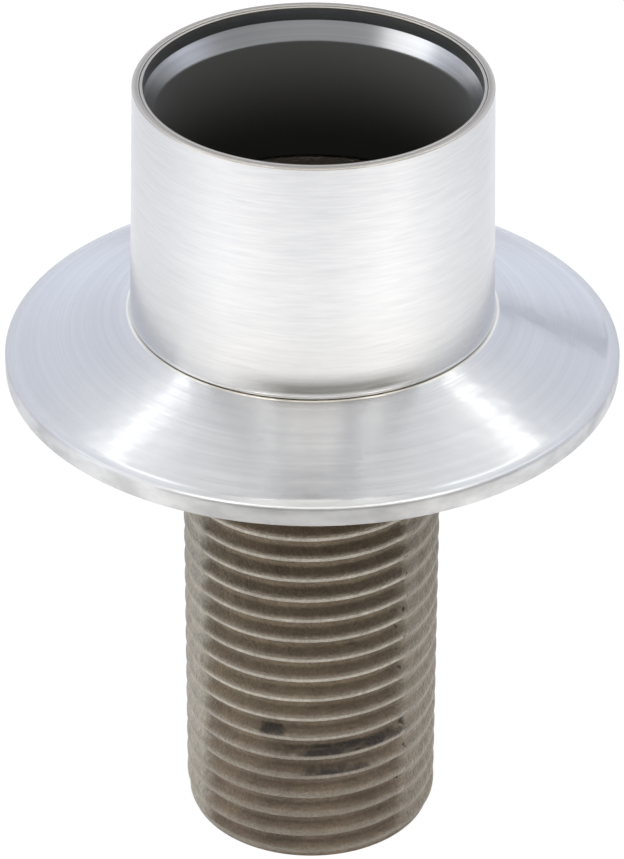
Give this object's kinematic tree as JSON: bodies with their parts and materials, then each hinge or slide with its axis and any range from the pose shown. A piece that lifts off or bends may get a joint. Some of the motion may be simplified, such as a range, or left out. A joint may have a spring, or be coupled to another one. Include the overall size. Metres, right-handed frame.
{
  "type": "thru hull fitting",
  "caption": "Flanged hull fitting with a bright sleeve mouth, an internal conical seat, a cast threaded stem, a sealing gasket and a lock nut run up under the flange.",
  "frame": {"origin": "centre of the stem's end face, which is the bottom of the fitting", "axes": "+Z along the stem's axis, up towards the mouth; +Y is away from the viewer who sees a flat of the nut"},
  "size_m": [0.05, 0.05, 0.0686],
  "materials": {
    "cast_bronze": "as cast, brown",
    "polished_flange": "polished",
    "brushed_barrel": "brushed round",
    "sleeve_steel": "dull with a polished seat",
    "nitrile_rubber": "matte",
    "gasket_rubber": "matte",
    "washer_bronze": "satin",
    "nut_bronze": "satin"
  },
  "bodies": {
    "fitting": {"threaded_stem": "cast_bronze", "flange": "polished_flange", "barrel": "brushed_barrel", "seat_sleeve": "sleeve_steel", "flange_o_ring": "nitrile_rubber", "collar_o_ring": "nitrile_rubber", "hull_gasket": "gasket_rubber"},
    "washer": {"thrust_washer": "washer_bronze"},
    "nut": {"lock_nut": "nut_bronze"}
  },
  "joints": [
    {"name": "washer_slide", "type": "slide", "parent": "fitting", "child": "washer", "axis": [0, 0, -1], "range_m": [0, 0.036]},
    {"name": "nut_spin", "type": "hinge", "parent": "washer", "child": "nut", "pos_m": [0, 0, 0.0405], "axis": [0, 0, -1], "range_deg": [0, 6480]}
  ],
  "couplings": [
    {"joint": "nut_spin", "follows": "washer_slide", "rad_per_m": 3141.6}
  ]
}
